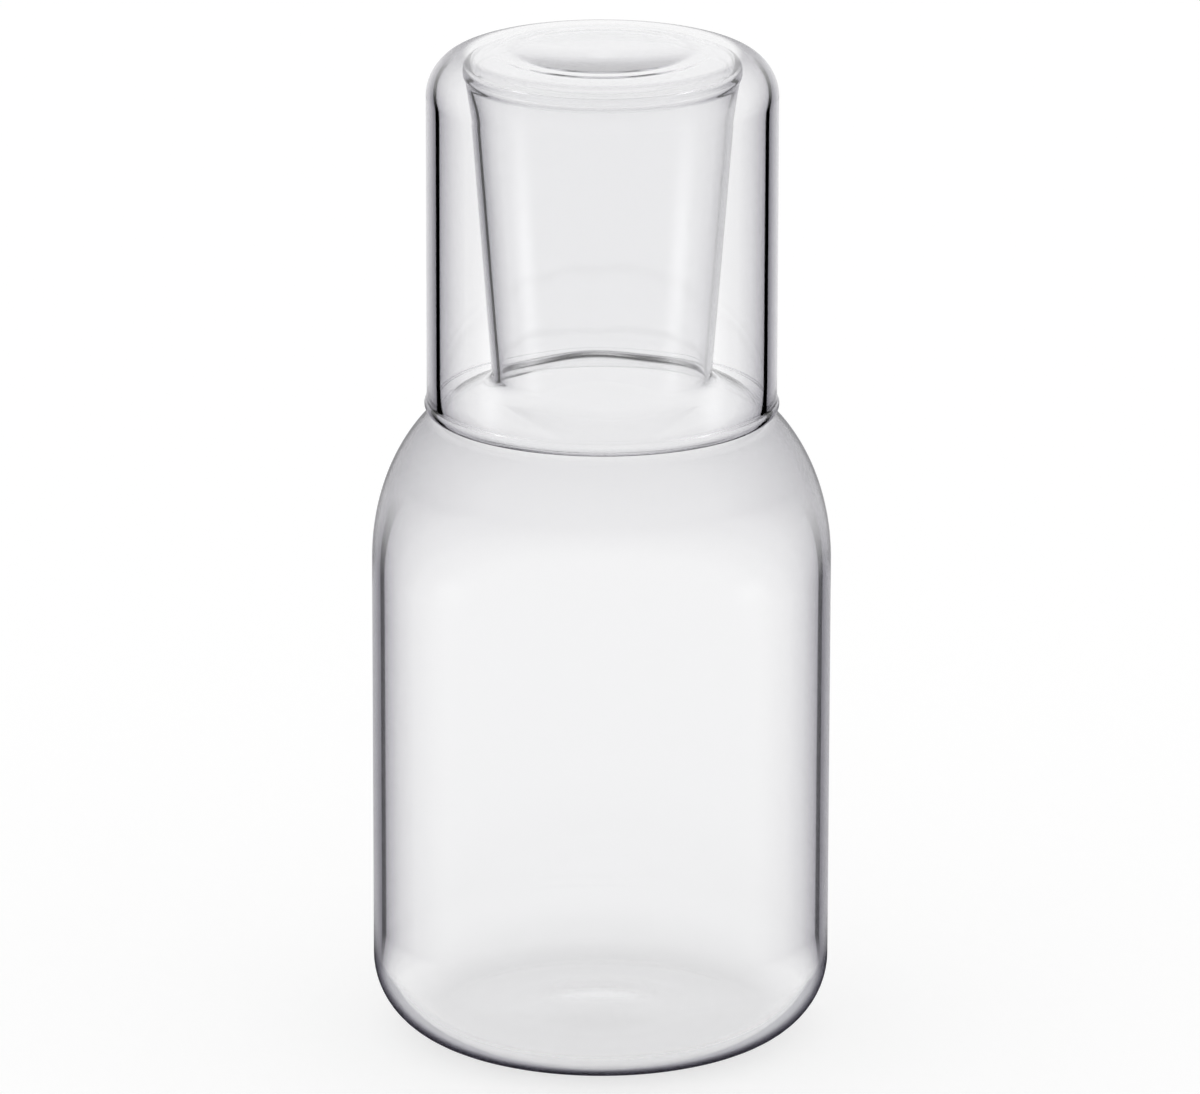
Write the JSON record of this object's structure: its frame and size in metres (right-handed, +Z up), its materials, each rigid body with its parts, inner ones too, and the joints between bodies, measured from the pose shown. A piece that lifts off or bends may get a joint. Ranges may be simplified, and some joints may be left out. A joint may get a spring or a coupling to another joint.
{
  "type": "bedside carafe with tumbler",
  "caption": "Clear glass bedside carafe with a straight body, domed shoulder and opening neck, covered by a glass tumbler turned over the neck that lifts straight off.",
  "frame": {"origin": "middle of the ring that the carafe stands on, in the plane of the table", "axes": "+Z up along the axis of the carafe and the tumbler; -Y towards the viewer of the picture"},
  "size_m": [0.1, 0.1, 0.2207],
  "materials": {
    "carafe_glass": "clear polished blown glass",
    "tumbler_glass": "clear polished blown glass"
  },
  "bodies": {
    "carafe": {"carafe": "carafe_glass"},
    "tumbler": {"tumbler": "tumbler_glass"}
  },
  "joints": [
    {"name": "tumbler_lift", "type": "slide", "parent": "carafe", "child": "tumbler", "axis": [0, 0, 1], "range_m": [0, 0.085]}
  ]
}
